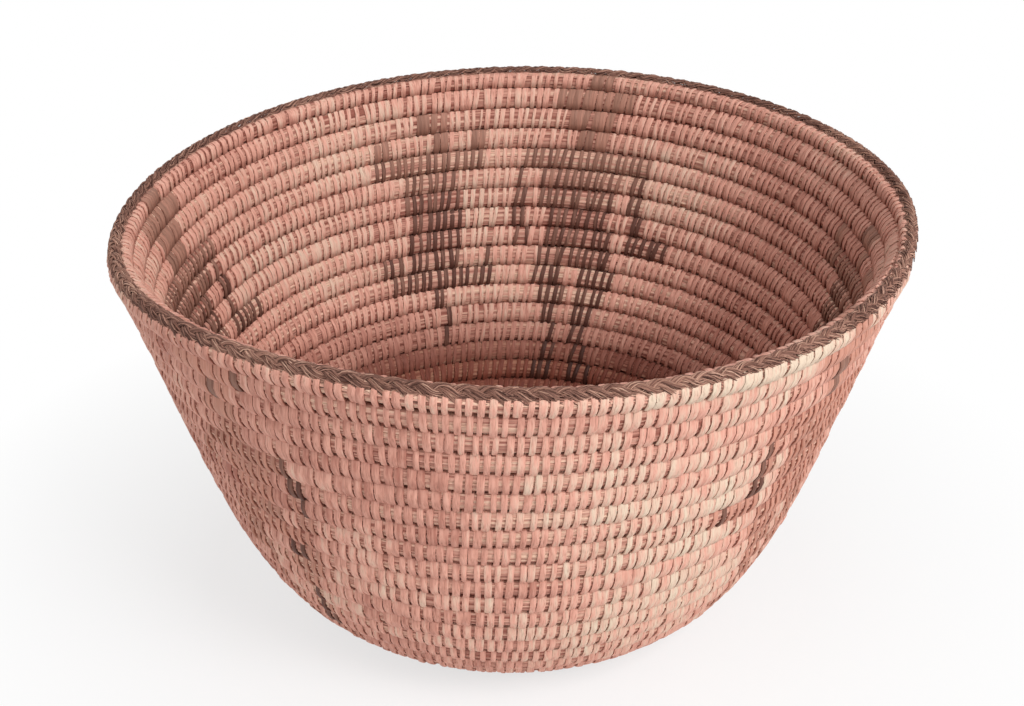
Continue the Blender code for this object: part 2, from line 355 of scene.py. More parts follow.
def wall_points(row, angle, out, up):
    """Points of the wall, moved out through it and up along it, as the rim leans, sags and twists."""
    radius, height, slope = wall_line(row)
    drop = RIM_HEIGHT - height
    tilt = RIM_LEAN * np.cos(angle) - BACK_DROP * np.maximum(0, np.sin(angle))
    sag = RIM_SAG * np.cos(2 * (angle - SAG_TURN))
    front = np.sqrt(np.maximum(0, -np.sin(angle)))
    twist = RIM_TWIST * np.sin(2 * (angle - TWIST_TURN)) * front
    rise = np.maximum(0, 1 - drop / LEAN_DEPTH) * (tilt + sag)
    rise = (rise + np.maximum(0, 1 - drop / TWIST_DEPTH) * twist) * radius / RIM_RADIUS
    radius = radius + out * np.cos(slope) + up * np.sin(slope)
    height = height + up * np.cos(slope) - out * np.sin(slope) + rise
    return np.stack(np.broadcast_arrays(radius * np.cos(angle), radius * np.sin(angle), height), -1)


def even_row(turns):
    """The row place of the bundle's middle, as if the coil went on at its full thickness.

    The last loops climb in a short arc and then lie level, and the inner ones climb more evenly.
    """
    whole = np.floor(turns)
    share = turns - whole
    level = np.where(whole < 1, 1, np.maximum(0, 1 - whole / LEVEL_ROWS))
    climbed = share + level * (np.minimum(share / CLIMB_SHARE, 1) - share)
    return np.where(whole < 1, climbed / 2, whole - 1 / 2 + climbed)


def angle_of_turn(turns):
    return TIP_ANGLE + FULL_TURN * turns


def even_points(turns):
    return wall_points(even_row(turns), angle_of_turn(turns), 0, 0)


def loop_room(turns):
    """How far a loop lies from the next one in."""
    return np.linalg.norm(even_points(turns + 1) - even_points(turns), axis=-1)


def half_room(turns):
    above = np.where(turns >= 2, turns - 1, turns)
    return np.minimum(loop_room(turns), loop_room(above)) / 2


def start_span(turns):
    """Radii of the knot's edge and of the last loop's inner side, with the thin start between."""
    beyond = FULL_TURN * (turns - START_TURN)
    sideways = KNOT_SHIFT * np.sin(beyond)
    edge = np.sqrt(KNOT_REACH ** 2 - sideways ** 2) - KNOT_SHIFT * np.cos(beyond)
    side = base_radius_at(even_row(turns)) + HALF_PITCH
    return np.clip(edge, side - ROW_PITCH, side), side


def row_of_turn(turns):
    """The row place of the bundle's middle, also where its thin start lies round the knot."""
    edge, side = start_span(turns)
    return np.where(turns > START_TURN, base_row_at((edge + side) / 2), even_row(turns))


def coil_points(turns, out=0, up=0):
    return wall_points(row_of_turn(turns), angle_of_turn(turns), out, up)


def bundle_half(turns):
    """Half of the bundle's height along the wall, thinned towards its two ends."""
    thinning = HALF_PITCH * np.minimum(turns / CLIMB_SHARE, 1)
    under = np.minimum(thinning, loop_room(turns) - half_room(turns + 1))
    edge, side = start_span(turns)
    half = np.where(turns < 1, under, half_room(turns))
    return np.where(turns > START_TURN, (side - edge) / 2, half)


def pressed_top(turns, out, up):
    """The way up from the bundle's middle, less on the top that the plait presses down."""
    last = np.clip((1 - turns) / TOP_PRESS_END + 1, 0, 1)
    press = last * (TOP_PRESS_SHARE + TOP_SLOPE_SHARE * grown(-out, 0, HALF_PITCH))
    return np.where(up > 0, up * (1 - press), up)


# Shapes

def grown(values, start, span):
    """0 up to the start, 1 from a span further on, and even growth between."""
    return np.clip((values - start) / span, 0, 1)


def round_section(angles, squareness):
    """Shares out and up of a rounded square, at angles counted from straight out."""
    powers = np.abs(np.cos(angles)) ** squareness + np.abs(np.sin(angles)) ** squareness
    reach = powers ** (-1 / squareness)
    return reach * np.cos(angles), reach * np.sin(angles)


def wander(places, drifts):
    """A slow, even wander along the coil, as the sum of a few waves."""
    return sum(size * np.sin(rate * places + phase) for size, rate, phase in drifts)


def tube_faces(rings, sides, closed):
    """Four-sided faces between rings, and the two end faces of an open tube."""
    ring = np.arange(rings if closed else rings - 1)[:, None]
    side = np.arange(sides)[None, :]
    low, high = ring * sides, (ring + 1) % rings * sides
    beside = (side + 1) % sides
    quads = np.stack((low + side, high + side, high + beside, low + beside), -1)
    faces = quads.reshape(-1, 4).tolist()
    if not closed:
        faces.append(list(range(sides)))
        faces.append([(rings - 1) * sides + place for place in reversed(range(sides))])
    return faces


def moved_on(faces, start):
    """The same faces on a later copy of their points."""
    return [[corner + start for corner in face] for face in faces]


def deselect_all():
    bpy.ops.object.select_all(action="DESELECT")


def set_values(mesh, name, values):
    """Gives every point of a mesh a number or a place of its own, under a name."""
    values = np.asarray(values, dtype=np.float32)
    if values.ndim == 2:
        mesh.attributes.new(name, "FLOAT_VECTOR", "POINT").data.foreach_set("vector", values.ravel())
    else:
        mesh.attributes.new(name, "FLOAT", "POINT").data.foreach_set("value", values)


def finish_piece(piece, material, grain_place, tone, painted_shade, slot):
    """Gives a piece its material, what that reads at every point, and its place in the assembly."""
    mesh = piece.data
    set_values(mesh, "grain_place", grain_place.reshape(-1, 3))
    set_values(mesh, "tone", tone.ravel())
    set_values(mesh, "painted_shade", painted_shade.ravel())
    mesh.materials.append(material)
    mesh.shade_smooth()
    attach(piece, "root")


def add_piece(name, points, faces, *looks):
    """A new piece of the bowl, with sharp edges where it turns sharply."""
    mesh = bpy.data.meshes.new(name)
    mesh.from_pydata(points.reshape(-1, 3).tolist(), [], faces)
    piece = bpy.data.objects.new(name, mesh)
    bpy.context.scene.collection.objects.link(piece)
    finish_piece(piece, *looks)
    mesh.validate()
    mesh.set_sharp_from_angle(angle=SHARP_ANGLE)
    return piece


# Shader nodes

def feed(tree, node, inputs):
    """Feeds each named input of a node with a value or with another node's output."""
    for name, value in inputs.items():
        if isinstance(value, bpy.types.NodeSocket):
            tree.links.new(value, node.inputs[name])
        else:
            node.inputs[name].default_value = value


def add_node(tree, kind, inputs=None, **settings):
    """A new node with its settings and its inputs."""
    node = tree.nodes.new(kind)
    for name, value in settings.items():
        setattr(node, name, value)
    feed(tree, node, inputs or {})
    return node


def math_node(tree, operation, first, second):
    return add_node(tree, "ShaderNodeMath", {0: first, 1: second}, operation=operation).outputs[0]


def range_node(tree, value, start, end, first=0, last=1):
    """A value spread from its start and end to a first and last result, and held there."""
    inputs = {0: value, 1: start, 2: end, 3: first, 4: last}
    return add_node(tree, "ShaderNodeMapRange", inputs).outputs[0]


def attribute_node(tree, name, output):
    return add_node(tree, "ShaderNodeAttribute", attribute_name=name).outputs[output]


def darkened(tree, factor, colour, by):
    """The colour, multiplied by another one as far as the factor says."""
    inputs = {0: factor, 6: colour, 7: by}
    return add_node(tree, "ShaderNodeMix", inputs, data_type="RGBA", blend_type="MULTIPLY").outputs[2]


def ramp_node(tree, value, stops):
    """A colour ramp with a stop for every place and colour given."""
    ramp = add_node(tree, "ShaderNodeValToRGB", {"Fac": value})
    elements = ramp.color_ramp.elements
    while len(elements) < len(stops):
        elements.new(1)
    for element, (place, colour) in zip(elements, stops):
        element.position = place
        element.color = (*colour, 1)
    return ramp.outputs["Color"]


def new_group(name, inputs, masks):
    """A node group with its inputs and an output for every mask, and what the inputs give."""
    group = bpy.data.node_groups.new(name, "ShaderNodeTree")
    for socket, kind in inputs:
        group.interface.new_socket(socket, in_out="INPUT", socket_type=kind)
    for mask in masks:
        group.interface.new_socket(mask[0], in_out="OUTPUT", socket_type="NodeSocketFloat")
    return group, group.nodes.new("NodeGroupInput").outputs


def feed_masks(group, masks, place, scale):
    """Feeds each of the group's masks from a noise of its own."""
    result = group.nodes.new("NodeGroupOutput")
    for name, finer, detail, start, end in masks:
        inputs = {"Vector": place, "Scale": math_node(group, "MULTIPLY", scale, finer), "Detail": detail}
        noise = add_node(group, "ShaderNodeTexNoise", inputs).outputs[0]
        feed(group, result, {name: range_node(group, noise, start, end)})
    return group


def group_node(tree, name, build, inputs):
    """The outputs of a node of a named group, built when it is first needed."""
    group = bpy.data.node_groups.get(name) or build(name)
    return add_node(tree, "ShaderNodeGroup", inputs, node_tree=group).outputs


def grain_group(name):
    """Fine fibres drawn out along the grain, and broader streaks between them."""
    number = "NodeSocketFloat"
    inputs = [("Place", "NodeSocketVector"), ("Drawn Out", number), ("Fineness", number)]
    group, given = new_group(name, inputs, GRAIN_MASKS)
    apart = add_node(group, "ShaderNodeSeparateXYZ", {0: given["Place"]}).outputs
    along = math_node(group, "DIVIDE", apart[0], given["Drawn Out"])
    drawn = add_node(group, "ShaderNodeCombineXYZ", {0: along, 1: apart[1], 2: apart[2]}).outputs[0]
    return feed_masks(group, GRAIN_MASKS, drawn, given["Fineness"])


def weather_group(name):
    """Soft patches of fading and handling dirt over the whole bowl."""
    group, given = new_group(name, [("Patch Scale", "NodeSocketFloat")], WEATHER_MASKS)
    place = add_node(group, "ShaderNodeTexCoord").outputs["Object"]
    return feed_masks(group, WEATHER_MASKS, place, given["Patch Scale"])


def new_material(name):
    """A new material, with its node tree and its shader."""
    made = bpy.data.materials.new(name)
    made.use_nodes = True
    return made, made.node_tree, made.node_tree.nodes["Principled BSDF"]


def grass_material(name, tones):
    """Dried plant fibre: its tones, the grain along it, faded and soiled patches, and painted shade in
    creases and hollows.
    """
    drawn_out, fineness, *shares, painted_shade_colour, relief, rough_share = GRASS_LOOKS[name]
    streak_share, line_share, fade_share = shares
    made, tree, shader = new_material(name)
    place = attribute_node(tree, "grain_place", "Vector")
    inputs = {"Place": place, "Drawn Out": drawn_out, "Fineness": fineness}
    grain = group_node(tree, "fibre_grain", grain_group, inputs)
    weather = group_node(tree, "weathering", weather_group, {"Patch Scale": PATCH_SCALE})
    fibre, streaks = grain["Fibre"], grain["Streak"]

    toned = attribute_node(tree, "tone", "Fac")
    for mask, share in ((streaks, streak_share), (weather["Faded"], fade_share)):
        shift = math_node(tree, "SUBTRACT", mask, MIDDLE_SHARE)
        toned = math_node(tree, "ADD", toned, math_node(tree, "MULTIPLY", shift, share))
    stops = [(index / (len(tones) - 1), tone) for index, tone in enumerate(tones)]
    colour = ramp_node(tree, toned, stops)
    fine_lines = ramp_node(tree, fibre, [(0, FINE_LINE_COLOUR), (FINE_LINE_SHARE, WHITE)])
    colour = darkened(tree, line_share, colour, fine_lines)
    soil = math_node(tree, "MULTIPLY", weather["Soiled"], SOILED_SHARE)
    colour = darkened(tree, soil, colour, (*SOILED_COLOUR, 1))
    # Painted shade: the colour darkened in creases and hollows, where shade falls
    painted_shade = range_node(tree, attribute_node(tree, "painted_shade", "Fac"), *PAINTED_SHADE_RANGE)
    colour = darkened(tree, painted_shade, colour, (*painted_shade_colour, 1))

    rough = range_node(tree, fibre, 0, 1, rough_share + DULLER_SHARE, rough_share - SHINIER_SHARE)
    height = math_node(tree, "ADD", fibre, streaks)
    inputs = {"Height": height, "Distance": relief, "Strength": BUMP_SHARE}
    normal = add_node(tree, "ShaderNodeBump", inputs).outputs[0]
    feed(tree, shader, {"Base Color": colour, "Roughness": rough, "Normal": normal})
    feed(tree, shader, {"Metallic": 0, "Specular IOR Level": FIBRE_SHEEN_SHARE})
    return made


# Settings

def number_of(name, description, default, **settings):
    return bpy.props.FloatProperty(name=name, description=description, default=default, **settings)


def length_of(name, description, default):
    return number_of(name, description, default, unit="LENGTH", precision=LENGTH_DIGITS)


def share_of(name, description, default):
    return number_of(name, description, default, subtype="FACTOR")


def colour_of(name, colour):
    description = f"Colour of the {name.lower()}"
    return bpy.props.FloatVectorProperty(
        name=name, description=description, default=linear(*colour), subtype="COLOR", size=3)


class BundleSettings(bpy.types.PropertyGroup):
    """The bundle of grass that makes the rows"""

    half_thickness: length_of("Half thickness", "Half of the bundle through the wall", 0.00345)
    stem_relief: length_of("Stem relief", "How far its stems stand out", 0.00022)
    shade: colour_of("Darkest stems", (156, 96, 82))
    body: colour_of("Common stems", (214, 158, 140))
    light: colour_of("Palest stems", (238, 200, 175))


class StitchSettings(bpy.types.PropertyGroup):
    """The splints that sew the rows together"""

    pitch: length_of("Pitch", "From one stitch to the next", 0.0032)
    width: length_of("Width", "The width of a common stitch", 0.0021)
    thickness: length_of("Thickness", "The thickness of a stitch", 0.00085)
    outer_lean: length_of("Outer lean", "How far a stitch moves on up the outside", 0.0009)
    inner_lean: length_of("Inner lean", "How far a stitch moves on down the inside", 0.0019)
    uneven_share: share_of("Unevenness", "How much the stitches differ", 0.17)
    brown: colour_of("Darkest plain splints", (182, 120, 104))
    pink: colour_of("Common plain splints", (229, 170, 151))
    pale: colour_of("Palest plain splints", (229, 207, 184))


class FigureSettings(bpy.types.PropertyGroup):
    """The dark splints that draw the figures"""

    upper_share: share_of("Upper width", "The share of its pitch an upper stitch covers", 0.88)
    lower_share: share_of("Lower width", "The share of its pitch a lower stitch covers", 0.5)
    faded_share: share_of("Outer fade", "How far the dye outside has faded", 0.88)
    faded: colour_of("Splints that lost most of their dye", (210, 150, 130))
    grey: colour_of("Greyed splints of the upper rows", (160, 117, 100))
    dark: colour_of("Dark splints of the lower rows", (100, 65, 55))


class PlaitSettings(bpy.types.PropertyGroup):
    """The plait of three strands along the rim"""

    fibres: bpy.props.IntProperty(name="Fibres", description="Fibres in a strand", default=13)
    fibre_radius: length_of("Fibre radius", "Half of a fibre's thickness", 0.00017)
    strand_width: length_of("Strand width", "From a strand's first fibre to its last", 0.0021)
    swing: length_of("Swing", "How far a strand swings to either side", 0.0018)
    overhang: length_of("Overhang", "How far the plait lies out over the rim", 0.0006)
    lift: length_of("Lift", "How far a strand rises at a crossing", 0.0005)
    droop: length_of("Droop", "How far the plait's edges bend down", 0.001)
    settle: length_of("Settle", "How far the plait sinks into the top row", 0.0008)
    tip_share: share_of("Tip", "How steeply the plait tips down outwards", 0.36)
    dark: colour_of("Darkest fibres", (98, 66, 57))
    brown: colour_of("Common fibres", (160, 117, 101))
    # The palest fibres, also the colour of the plait's painted highlight
    pale: colour_of("Faded fibres and painted highlight", (214, 172, 150))


class KnotSettings(bpy.types.PropertyGroup):
    """The woven strips that the bundle starts from"""

    rounding: length_of("Rounding", "The rounding of a strip's edges", 0.0002)
    shade: colour_of("Darkest parts of the strips", (180, 126, 98))
    body: colour_of("Common parts of the strips", (222, 178, 146))
    light: colour_of("Palest parts of the strips", (242, 212, 182))


class StageSettings(bpy.types.PropertyGroup):
    """The floor, the light and the camera"""

    lens: number_of("Lens", "Focal length in millimetres", 57.57, unit="CAMERA")
    key_power: number_of("Key light", "Watts of the key lamp", 20.6, unit="POWER")
    fill_power: number_of("Fill light", "Watts of the fill lamp", 4.2, unit="POWER")
    ambient: number_of("Surroundings", "Strength of the even light", 0.45)
    floor: colour_of("Floor", (238, 238, 238))


# The bundle

# Painted shade deep in the bowl, by row
def deep_shade(rows):
    return np.interp(rows, DEEP_SHADE_ROWS, DEEP_SHADE_SHARES)


def stem_ridges(turns):
    """How far the stems stand out, from -1 to 1, at every station and angle."""
    drift = wander(turns, STEM_DRIFTS)[:, None]
    waves = [np.cos(count * BUNDLE_ANGLES + drift * (place + 1))
             for place, count in enumerate(STEM_COUNTS)]
    return sum(share * wave for share, wave in zip(STEM_SHARES, waves))


def bundle_piece(name, first, last, settings, material):
    """The bundle between two of its turns, ridged by the stems in it."""
    stations = math.ceil((last - first) * BUNDLE_STATIONS)
    turns = first + (last - first) * np.arange(stations + 1) / stations
    out_share, up_share = round_section(BUNDLE_ANGLES, BUNDLE_SQUARENESS)
    half = bundle_half(turns)[:, None]
    relief = settings.stem_relief * stem_ridges(turns)
    out = (settings.half_thickness * half / HALF_PITCH + relief) * out_share
    column = turns[:, None]
    up = pressed_top(column, out, (half + relief) * up_share)
    points = coil_points(column, out, up)
    points[..., 2] = np.maximum(points[..., 2], STITCH_BITE)

    rows = row_of_turn(column)
    grain = np.stack(np.broadcast_arrays(column * FULL_TURN * wall_line(rows)[0], out, up), -1)
    tone = np.broadcast_to(MIDDLE_SHARE + STEM_TONE_SHARE * wander(column, STEM_DRIFTS), out.shape)
    inside = out_share < 0
    # Painted shade in the valleys between rows, softer inside, and deep in the bowl
    painted_shade = grown(np.abs(up_share), CREASED_FROM_SHARE, CREASED_SPAN_SHARE)
    softer = painted_shade * (1 - INNER_SOFTNESS_SHARE * inside)
    painted_shade = np.broadcast_to(np.maximum(softer, deep_shade(rows) * inside), out.shape)
    faces = tube_faces(len(turns), BUNDLE_SIDES, False)
    return add_piece(name, points, faces, material, grain, tone, painted_shade, "sewn_grass")


class BASKET_OT_bundle(bpy.types.Operator):
    """Lays the grass bundle round and round, from the tip to the knot"""

    bl_idname = "basket.bundle"
    bl_label = "Grass bundle"

    def execute(self, context):
        settings = context.scene.basket_bundle
        material = grass_material("bundle_grass", (settings.shade, settings.body, settings.light))
        last = START_TURN + START_TURNS
        wall = bundle_piece("bundle_wall", FIRST_TURN, WALL_TURNS, settings, material)
        base = bundle_piece("bundle_base", WALL_TURNS, last, settings, material)
        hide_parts("wall_coil")
        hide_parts("base_coil")
        return {"FINISHED"}


# The stitches

def edit_edges(model, chosen):
    """Goes to edit mode with the edges selected whose two ends pass the test."""
    bpy.context.tool_settings.mesh_select_mode = (False, True, False)
    bpy.ops.object.mode_set(mode="EDIT")
    bpy.ops.mesh.select_all(action="DESELECT")
    bpy.ops.object.mode_set(mode="OBJECT")
    vertices = model.data.vertices
    for edge in model.data.edges:
        edge.select = chosen(*(vertices[index].co for index in edge.vertices))
    bpy.ops.object.mode_set(mode="EDIT")


def runs_along(first, last):
    return abs(first.y - last.y) > TOP_SHARE


def runs_along_top(first, last):
    return runs_along(first, last) and min(first.z, last.z) > TOP_SHARE


def model_stitch():
    """One straight flat stitch of unit size: across, along from 0 to 1, and up from 0 to 1."""
    deselect_all()
    bpy.ops.mesh.primitive_cube_add(size=1, location=(0, TOP_SHARE, TOP_SHARE))
    model = bpy.context.object
    bpy.ops.object.transform_apply(location=True, rotation=False, scale=False)
    edit_edges(model, runs_along_top)
    bpy.ops.mesh.bevel(offset=STITCH_SHOULDER_SHARE, segments=1, affect="EDGES")
    bpy.ops.object.mode_set(mode="OBJECT")
    edit_edges(model, runs_along)
    bpy.ops.mesh.subdivide(number_cuts=len(STITCH_DEGREES) - 2)
    bpy.ops.object.mode_set(mode="OBJECT")
    mesh = model.data
    points = np.array([vertex.co[:] for vertex in mesh.vertices])
    faces = [list(face.vertices) for face in mesh.polygons]
    bpy.data.objects.remove(model)
    shares = np.interp(points[:, 1], RING_SHARES, STITCH_WIDTH_SHARES)
    points[:, 0] *= shares
    points[:, 2] *= (1 + shares) / 2
    return points, faces


def stitch_turns(pitch, uneven_share, chance):
    """Where along the coil the stitches lie, at an even, slightly shaken pitch."""
    last = START_TURN + START_SEWN_TURNS
    samples = np.linspace(FIRST_TURN, last, int(last * LENGTH_SAMPLES_PER_TURN))
    steps = np.linalg.norm(np.diff(coil_points(samples), axis=0), axis=1)
    lengths = np.concatenate(([0], np.cumsum(steps)))
    count = int(lengths[-1] / pitch) - 1
    shaken = np.arange(1, count) * pitch + chance.normal(0, uneven_share / 2, count - 1) * pitch
    return np.interp(shaken, lengths, samples)


def splint_runs(count, chance):
    """One number for each stitch, the same for as long as a splint lasts."""
    values = []
    while len(values) < count:
        values += [chance.normal()] * int(chance.integers(SHORTEST_SPLINT, LONGEST_SPLINT))
    return np.array(values[:count])


def figure_areas():
    """Every dark span of the figures: first and last row, and degrees round the bowl."""
    for middle, chart in FIGURES:
        for row, spans in chart.items():
            for low, high in zip(spans[::2], spans[1::2]):
                yield row, row, middle - high, middle - low


def in_areas(turns, areas):
    """Which stitches lie in an area, by its first and last row and its degrees round the bowl."""
    rows = np.floor(row_of_turn(turns)) + 1
    degrees = np.degrees(angle_of_turn(turns))
    found = np.zeros(len(turns), dtype=bool)
    for first, last, low, high in areas:
        found |= (rows >= first) & (rows <= last) & ((degrees - low) % FULL_DEGREES <= high - low)
    return found


def angle_patch(angles, patch):
    """How far each angle lies in a soft patch of the bowl, from 0 to 1."""
    middle, spread = (math.radians(degrees) for degrees in patch)
    away = (angles - middle + math.pi) % FULL_TURN - math.pi
    return np.exp(-(away / spread) ** 2)


def stitch_sizes(turns, dark, width_run, chance):
    """Every stitch's width, thickness and lean, each a little different."""
    scene = bpy.context.scene
    plain, figures = scene.basket_stitches, scene.basket_figures
    count, angles = len(turns), angle_of_turn(turns)
    shaken = chance.normal(0, WIDTH_SPREAD_SHARE, count) + width_run / 2
    widths = plain.width * (1 + plain.uneven_share * shaken)
    widths *= np.interp(np.degrees(angles) % FULL_DEGREES, WIDTH_DEGREES, WIDTH_SHARES)
    upper = row_of_turn(turns) < PALE_FIGURE_ROWS
    dark_widths = np.where(upper, figures.upper_share, figures.lower_share) * plain.pitch
    dark_widths *= 1 + chance.normal(0, DARK_WIDTH_SPREAD_SHARE, count)
    heights = plain.thickness * (1 + chance.normal(0, THICKNESS_SPREAD_SHARE, count))
    leans = 1 + chance.normal(0, LEAN_SPREAD_SHARE, count) + LEAN_SIDE_SHARE * np.cos(angles)
    return np.where(dark, dark_widths, widths), heights, leans


def plain_tones(turns, run, chance):
    """Every plain stitch's tone outside, with its patches of painted light and its painted shade, and
    inside, with painted light at the back and painted shade deeper down.
    """
    rows, angles = row_of_turn(turns), angle_of_turn(turns)
    tones = PLAIN_TONE + PLAIN_RUN_TONE * run + chance.normal(0, PLAIN_TONE_SPREAD, len(turns))
    # Painted light on the lower front of the outside, over the lower rows
    lower = grown(rows, LOW_PAINTED_LIGHT_FROM_ROW, LOW_PAINTED_LIGHT_ROWS)
    # Painted light where the key lamp falls on the outside, less on the lower rows
    painted_light = angle_patch(angles, PAINTED_LIGHT_PATCH) * (1 - LOW_LOSS_SHARE * lower)
    low = angle_patch(angles, LOW_PAINTED_LIGHT_PATCH) * lower
    patches = PAINTED_LIGHT_TONE * painted_light + LOW_PAINTED_LIGHT_TONE * low
    patches *= np.interp(rows, PATCH_END_ROWS, (1, 0))
    # The outside, with its painted shade, its patches of painted light and a paler first row
    outer = tones - OUTER_TONE_LOSS + patches + FIRST_ROW_TONE * (rows < 1)
    inner = INNER_TONE + INNER_CALM_SHARE * (tones - INNER_TONE)
    # Painted light on the inside's back wall
    inner += PAINTED_LIGHT_INSIDE_TONE * angle_patch(angles, PAINTED_LIGHT_INSIDE_PATCH)
    # Inside a little paler overall, with painted shade growing with every row deeper down
    inner += INNER_TONE_GAIN - ROW_SHADE_LOSS * np.maximum(rows - SHADED_FROM_ROW, 0)
    return outer, inner


def dyed_tones(turns, run, faded_share, chance):
    """Every dark stitch's tone outside, where most have faded, and inside."""
    deeper = DARK_TONES[0] + (row_of_turn(turns) - DARKER_FROM_ROW) / DARKER_ROWS
    inner = np.clip(deeper, *DARK_TONES) + chance.normal(0, DARK_TONE_SPREAD, len(turns))
    kept = in_areas(turns, KEPT_OUTSIDE) & (chance.random(len(turns)) < KEPT_SHARE)
    outer = inner * (1 - faded_share) + DYED_RUN_TONE * run
    return np.where(kept, np.maximum(inner, KEPT_TONE), outer), inner


def bend_stitches(points, turns, widths, heights, leans):
    """Every stitch's points bent over the bundle, and how far they lie along and above it."""
    scene = bpy.context.scene
    plain, bundle = scene.basket_stitches, scene.basket_bundle
    across, along, over = points.T
    wrap = np.radians(np.interp(along, RING_SHARES, STITCH_DEGREES))
    out_share, up_share = round_section(wrap, STITCH_SQUARENESS)
    half = bundle_half(turns)[:, None]
    radius = wall_line(row_of_turn(turns))[0][:, None]
    moved = np.interp(along, (0, TOP_SHARE, 1), (-plain.outer_lean, 0, plain.inner_lean))
    shift = across * widths[:, None] + leans[:, None] * moved
    places = np.maximum(turns[:, None] + shift / radius / FULL_TURN, 0)
    rise = over * heights[:, None] - STITCH_SINK
    out = (bundle.half_thickness * half / HALF_PITCH + rise) * out_share
    bite = np.where(up_share < 0, STITCH_BITE, -STITCH_SINK)
    up = (half + bite + rise / 2) * up_share
    laid = coil_points(places, out, pressed_top(places, out, up))
    resting = (1 - over) * STITCH_BITE + FLOOR_CLEARANCE
    laid[..., 2] = np.maximum(laid[..., 2], resting)
    return laid, shift, rise


def lay_stitches(name, model, turns, widths, heights, leans, outer_tones, inner_tones, material):
    """A bent copy of the modelled stitch at every place, joined as one piece."""
    points, faces = model
    _, along, over = points.T
    laid, shift, rise = bend_stitches(points, turns, widths, heights, leans)
    number = np.arange(len(turns))[:, None] * ROW_PITCH
    grain = np.stack(np.broadcast_arrays(along * FULL_TURN * HALF_PITCH, shift, number + rise), -1)
    inside = grown(along, INSIDE_SHARE, INSIDE_BLEND_SHARE)
    tone = outer_tones[:, None] * (1 - inside) + inner_tones[:, None] * inside
    # Painted shade at the stitch's ends, along its lower side, and on the deep rows inside
    reach = np.where(along < TOP_SHARE, OUTER_END_SHARE, INNER_END_SHARE)
    ends = grown(np.abs(along - TOP_SHARE), reach, TOP_SHARE - reach)
    depth = deep_shade(row_of_turn(turns))[:, None] * inside
    painted_shade = np.broadcast_to(np.maximum(np.maximum(ends, 1 - over), depth), laid.shape[:2])
    copies = [face for place in range(len(turns)) for face in moved_on(faces, place * len(points))]
    add_piece(name, laid, copies, material, grain, tone, painted_shade, "sewn_grass")


class BASKET_OT_stitches(bpy.types.Operator):
    """Sews every stitch over the bundle, the plain ones and those of the figures"""

    bl_idname = "basket.stitches"
    bl_label = "Stitches and figures"

    def execute(self, context):
        plain, figures = context.scene.basket_stitches, context.scene.basket_figures
        chance = np.random.default_rng(RANDOM_SEED)
        model = model_stitch()
        turns = stitch_turns(plain.pitch, plain.uneven_share, chance)
        dark = in_areas(turns, figure_areas())
        run, width_run = (splint_runs(len(turns), chance) for _ in range(2))
        sizes = stitch_sizes(turns, dark, width_run, chance)
        tones = plain_tones(turns, run, chance)
        dark_tones = dyed_tones(turns, run, figures.faded_share, chance)

        material = grass_material("sewing_splint", (plain.brown, plain.pink, plain.pale))
        for low, high in zip(PIECE_TURNS, PIECE_TURNS[1:]):
            chosen = (turns >= low) & (turns < high) & ~dark
            parts = [values[chosen] for values in (turns, *sizes, *tones)]
            lay_stitches(f"stitches_from_row_{low + 1}", model, *parts, material)
        dyed = grass_material("dyed_splint", (figures.faded, figures.grey, figures.dark))
        parts = [values[dark] for values in (turns, *sizes, *dark_tones)]
        lay_stitches("figure_stitches", model, *parts, dyed)
        return {"FINISHED"}


# The plait

def uneven(places, radius, unevenness, chance):
    """A fibre's unevenness, as waves of one size at chance rates and phases."""
    share, slowest, fastest, count = unevenness
    drifts = [(radius * share, int(chance.integers(slowest, fastest)), chance.uniform(0, FULL_TURN))
              for _ in range(count)]
    return wander(places, drifts)


def plait_fibre(strand, place, settings, chance):
    """The points of one fibre's middle line, all round the rim, and the way up from the rim."""
    count = PLAIT_PERIODS * PLAIT_STATIONS
    angles = FULL_TURN * np.arange(count) / count
    phase = angles * PLAIT_PERIODS + PLAIT_PHASE + FULL_TURN * strand / PLAIT_STRANDS
    heading = np.arctan(settings.swing * np.cos(phase) * PLAIT_PERIODS / RIM_RADIUS)
    radius = settings.fibre_radius
    sway = uneven(angles, radius, FIBRE_SWAY, chance)
    side = settings.strand_width * place + sway
    swung = settings.swing * np.sin(phase) + side * np.cos(heading)
    turned = angles - side * np.sin(heading) / RIM_RADIUS
    crown = radius * (1 - 4 * place * place)
    tipped = settings.tip_share * np.where(swung > 0, swung, swung * INNER_TIP_SHARE)
    seat = settings.lift + radius - settings.settle - tipped
    edge = (swung / settings.swing) ** 2
    out = swung + settings.overhang
    bulge = uneven(angles, radius, FIBRE_BULGE, chance)
    up = seat + settings.lift * np.sin(2 * phase) + crown - settings.droop * edge + bulge
    points = wall_points(0, turned, out, up)
    higher = wall_points(0, turned, out, up + settings.lift)
    return points, higher - points, angles


def unit(vectors):
    return vectors / np.linalg.norm(vectors, axis=-1, keepdims=True)


def fibre_rings(middle, upward, radius):
    """Rings round a closed middle line."""
    ahead = unit(np.roll(middle, -1, axis=0) - np.roll(middle, 1, axis=0))
    side = unit(np.cross(ahead, unit(upward)))
    rise = np.cross(side, ahead)
    around = FIBRE_ANGLES[:, None]
    return middle[:, None] + radius * (np.cos(around) * side[:, None] + np.sin(around) * rise[:, None])


def fibre_tones(angles, fibres, chance):
    """A fibre's tone along its way, with painted light where the key lamp falls on the plait, and a few
    pale flecks.
    """
    tone = FIBRE_TONE + chance.normal(0, FIBRE_TONE_SPREAD)
    tone = tone + FIBRE_TONE_WAVE * np.sin(angles * chance.integers(*FIBRE_TONE_RATES))
    # Painted light on the plait's lit side
    tone += PLAIT_PAINTED_LIGHT_TONE * angle_patch(angles, PLAIT_PAINTED_LIGHT_PATCH)
    return tone + FLECK_TONE * (chance.random(len(angles)) < PLAIT_FLECKS / len(angles) / fibres)


